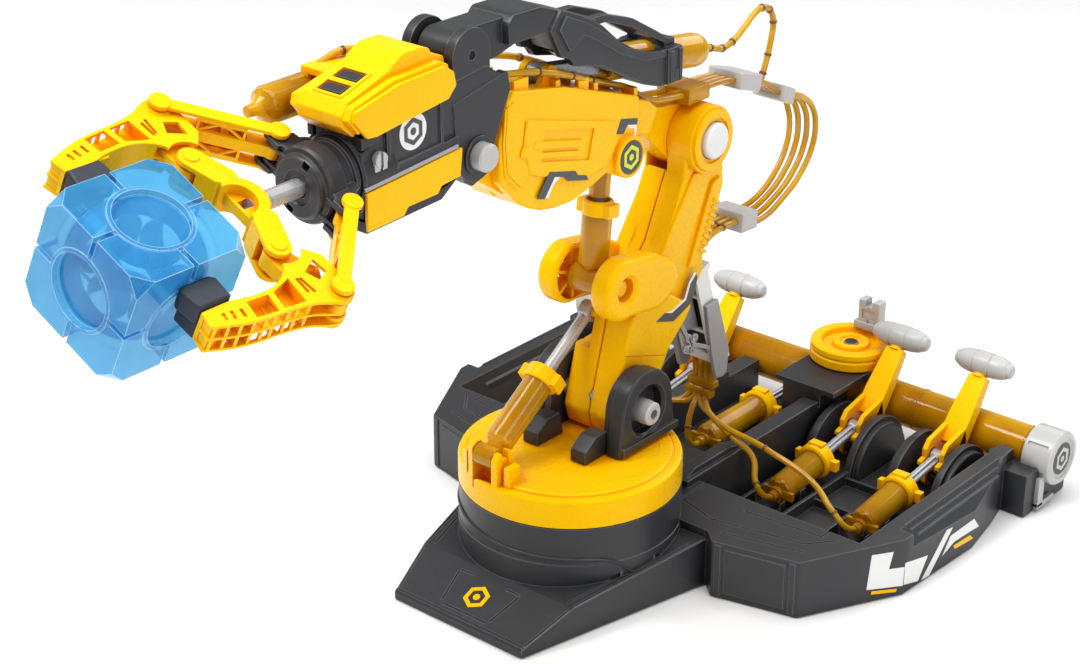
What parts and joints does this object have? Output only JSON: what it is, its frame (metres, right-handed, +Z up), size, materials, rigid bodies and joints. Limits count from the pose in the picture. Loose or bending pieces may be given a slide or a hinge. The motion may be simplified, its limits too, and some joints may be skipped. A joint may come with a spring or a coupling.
{
  "type": "hydraulic robot arm kit",
  "caption": "Toy hydraulic robot arm on a lever console: turntable, two-link arm, tilting wrist and rolling gripper, each moved by a water-filled cylinder and its lever, holding a clear block.",
  "frame": {"origin": "on the turntable axis, in the plane of the flat underside of the console base", "axes": "+Z up along the turntable axis; -Y forward, the way the arm reaches; +X sideways, to the arm's left as seen from behind it"},
  "size_m": [0.26, 0.4236, 0.2474],
  "materials": {
    "yellow_plastic": "glossy moulded",
    "dark_plastic": "satin moulded",
    "grey_plastic": "satin moulded",
    "amber_clear": "clear tinted",
    "silver_plastic": "silver satin",
    "blue_clear": "clear tinted",
    "soft_rubber": "matt"
  },
  "bodies": {
    "base": {"base_shell": "dark_plastic", "tank_tube": "amber_clear", "tank_cap_near": "grey_plastic", "tank_cap_far": "grey_plastic", "wheel_barrel": "amber_clear", "hoses_console": "amber_clear", "lever_barrel_1": "amber_clear", "lever_barrel_2": "amber_clear", "lever_barrel_3": "amber_clear", "lever_barrel_4": "amber_clear"},
    "plunger_1": {"lever_plunger_1": "silver_plastic"},
    "lever_1": {"lever_1": "yellow_plastic", "lever_handle_1": "grey_plastic"},
    "plunger_2": {"lever_plunger_2": "silver_plastic"},
    "lever_2": {"lever_2": "yellow_plastic", "lever_handle_2": "grey_plastic"},
    "plunger_3": {"lever_plunger_3": "silver_plastic"},
    "lever_3": {"lever_3": "yellow_plastic", "lever_handle_3": "grey_plastic"},
    "plunger_4": {"lever_plunger_4": "silver_plastic"},
    "lever_4": {"lever_4": "yellow_plastic", "lever_handle_4": "grey_plastic"},
    "wheel_plunger": {"wheel_plunger": "silver_plastic"},
    "wheel": {"wheel": "yellow_plastic", "wheel_grip": "grey_plastic"},
    "turntable": {"turntable": "yellow_plastic", "pedestal_near": "dark_plastic", "pedestal_far": "dark_plastic", "boom_pin": "grey_plastic"},
    "boom_cylinder": {"boom_cylinder": "amber_clear"},
    "boom_rod": {"boom_rod": "silver_plastic"},
    "lower_arm": {"lower_arm_near": "yellow_plastic", "lower_arm_far": "yellow_plastic", "shoulder_pin": "grey_plastic", "hose_guide": "grey_plastic", "hoses_loop": "amber_clear"},
    "forearm_cylinder": {"forearm_cylinder": "amber_clear"},
    "forearm_rod": {"forearm_rod": "silver_plastic"},
    "forearm": {"forearm_near": "yellow_plastic", "forearm_far": "yellow_plastic", "wrist_pin": "grey_plastic", "hoses_forearm": "amber_clear"},
    "wrist": {"wrist_body": "dark_plastic", "wrist_cover": "yellow_plastic", "wrist_belly": "yellow_plastic", "grip_cylinder": "amber_clear"},
    "link": {"link_shell": "dark_plastic", "link_cylinder": "amber_clear", "hose_link": "amber_clear"},
    "link_rod": {"link_rod": "silver_plastic"},
    "gripper": {"gripper_head": "dark_plastic"},
    "crosshead": {"crosshead": "yellow_plastic"},
    "claw_near": {"claw_near": "yellow_plastic", "jaw_pad_near": "soft_rubber"},
    "jaw_link_near": {"jaw_link_near": "yellow_plastic"},
    "claw_far": {"claw_far": "yellow_plastic", "jaw_pad_far": "soft_rubber"},
    "jaw_link_far": {"jaw_link_far": "yellow_plastic"},
    "block": {"clear_block": "blue_clear"}
  },
  "joints": [
    {"name": "yaw", "type": "hinge", "parent": "base", "child": "turntable", "pos_m": [0, 0, 0.047], "axis": [0, 0, 1], "range_deg": [-25, 25]},
    {"name": "boom", "type": "hinge", "parent": "turntable", "child": "lower_arm", "pos_m": [0, 0.018, 0.069], "axis": [1, 0, 0], "range_deg": [-3, 15]},
    {"name": "forearm", "type": "hinge", "parent": "lower_arm", "child": "forearm", "pos_m": [0, 0.071, 0.166], "axis": [1, 0, 0], "range_deg": [-3, 12]},
    {"name": "wrist", "type": "hinge", "parent": "forearm", "child": "wrist", "pos_m": [0, -0.068, 0.2], "axis": [1, 0, 0], "range_deg": [-2, 12]},
    {"name": "roll", "type": "hinge", "parent": "wrist", "child": "gripper", "pos_m": [0, -0.116, 0.2065], "axis": [0, -1, 0], "range_deg": [-45, 45]},
    {"name": "grip", "type": "slide", "parent": "gripper", "child": "crosshead", "axis": [0, -1, 0], "range_m": [0, 0.005]},
    {"name": "block_release", "type": "slide", "parent": "gripper", "child": "block", "axis": [0, -1, 0], "range_m": [0, 0.04]},
    {"name": "boom_cylinder_swing", "type": "hinge", "parent": "turntable", "child": "boom_cylinder", "pos_m": [-0.009, -0.039, 0.061], "axis": [1, 0, 0], "range_deg": [-3, 7]},
    {"name": "boom_rod_swing", "type": "hinge", "parent": "lower_arm", "child": "boom_rod", "pos_m": [-0.009, 0.022, 0.102], "axis": [1, 0, 0], "range_deg": [-13, 4]},
    {"name": "forearm_cylinder_swing", "type": "hinge", "parent": "lower_arm", "child": "forearm_cylinder", "pos_m": [0, 0.0125, 0.1215], "axis": [1, 0, 0], "range_deg": [-3, 3]},
    {"name": "forearm_rod_swing", "type": "hinge", "parent": "forearm", "child": "forearm_rod", "pos_m": [0, 0.0184, 0.1741], "axis": [1, 0, 0], "range_deg": [-15, 5]},
    {"name": "link_swing", "type": "hinge", "parent": "wrist", "child": "link", "pos_m": [0, -0.069, 0.2363], "axis": [1, 0, 0], "range_deg": [-13, 4]},
    {"name": "link_rod_swing", "type": "hinge", "parent": "forearm", "child": "link_rod", "pos_m": [0, -0.02, 0.2145], "axis": [1, 0, 0], "range_deg": [-2, 4]},
    {"name": "claw_near", "type": "hinge", "parent": "crosshead", "child": "claw_near", "pos_m": [0.0196, -0.172, 0.19651], "axis": [0.454, 0, 0.891], "range_deg": [-1, 12]},
    {"name": "jaw_link_near", "type": "hinge", "parent": "gripper", "child": "jaw_link_near", "pos_m": [0.01648, -0.1365, 0.1981], "axis": [0.454, 0, 0.891], "range_deg": [-4, 4]},
    {"name": "claw_far", "type": "hinge", "parent": "crosshead", "child": "claw_far", "pos_m": [-0.0196, -0.172, 0.21649], "axis": [0.454, 0, 0.891], "range_deg": [-12, 1]},
    {"name": "jaw_link_far", "type": "hinge", "parent": "gripper", "child": "jaw_link_far", "pos_m": [-0.01648, -0.1365, 0.2149], "axis": [0.454, 0, 0.891], "range_deg": [-4, 4]},
    {"name": "lever_1", "type": "hinge", "parent": "base", "child": "lever_1", "pos_m": [0.086, 0.143, 0.0085], "axis": [1, 0, 0], "range_deg": [-3.5, 15.5]},
    {"name": "plunger_1", "type": "slide", "parent": "base", "child": "plunger_1", "axis": [0, -0.9921, -0.1253], "range_m": [-0.0008, 0.0031]},
    {"name": "lever_2", "type": "hinge", "parent": "base", "child": "lever_2", "pos_m": [0.044, 0.143, 0.0085], "axis": [1, 0, 0], "range_deg": [-3.5, 15.5]},
    {"name": "plunger_2", "type": "slide", "parent": "base", "child": "plunger_2", "axis": [0, -0.9921, -0.1253], "range_m": [-0.0008, 0.0031]},
    {"name": "lever_3", "type": "hinge", "parent": "base", "child": "lever_3", "pos_m": [-0.044, 0.143, 0.0085], "axis": [1, 0, 0], "range_deg": [-3.5, 15.5]},
    {"name": "plunger_3", "type": "slide", "parent": "base", "child": "plunger_3", "axis": [0, -0.9921, -0.1253], "range_m": [-0.0008, 0.0031]},
    {"name": "lever_4", "type": "hinge", "parent": "base", "child": "lever_4", "pos_m": [-0.086, 0.143, 0.0085], "axis": [1, 0, 0], "range_deg": [-3.5, 15.5]},
    {"name": "plunger_4", "type": "slide", "parent": "base", "child": "plunger_4", "axis": [0, -0.9921, -0.1253], "range_m": [-0.0008, 0.0031]},
    {"name": "wheel", "type": "hinge", "parent": "base", "child": "wheel", "pos_m": [0.0195, 0.1745, 0.038], "axis": [0, 0, 1], "range_deg": [-20.5, 20.5]},
    {"name": "wheel_plunger", "type": "slide", "parent": "base", "child": "wheel_plunger", "axis": [0, 1, 0], "range_m": [-0.0045, 0.0045]}
  ],
  "couplings": [
    {"joint": "boom_cylinder_swing", "follows": "boom", "ratio": 0.28008},
    {"joint": "boom_rod_swing", "follows": "boom", "ratio": -0.71992},
    {"joint": "forearm_cylinder_swing", "follows": "forearm", "ratio": -0.045576},
    {"joint": "forearm_rod_swing", "follows": "forearm", "ratio": -1.0456},
    {"joint": "link_rod_swing", "follows": "wrist", "ratio": 0.16412},
    {"joint": "link_swing", "follows": "wrist", "ratio": -0.83588},
    {"joint": "claw_near", "follows": "grip", "rad_per_m": 32.99},
    {"joint": "jaw_link_near", "follows": "grip", "rad_per_m": -8.2436},
    {"joint": "claw_far", "follows": "grip", "rad_per_m": -32.99},
    {"joint": "jaw_link_far", "follows": "grip", "rad_per_m": 8.2436},
    {"joint": "lever_1", "follows": "boom", "ratio": 1},
    {"joint": "plunger_1", "follows": "boom", "m_per_rad": 0.01047},
    {"joint": "lever_2", "follows": "forearm", "ratio": 1},
    {"joint": "plunger_2", "follows": "forearm", "m_per_rad": 0.01047},
    {"joint": "lever_3", "follows": "wrist", "ratio": 1},
    {"joint": "plunger_3", "follows": "wrist", "m_per_rad": 0.01047},
    {"joint": "lever_4", "follows": "grip", "rad_per_m": 48.869},
    {"joint": "plunger_4", "follows": "grip", "ratio": 0.51166},
    {"joint": "wheel", "follows": "yaw", "ratio": 0.8},
    {"joint": "wheel_plunger", "follows": "yaw", "m_per_rad": 0.010084}
  ]
}
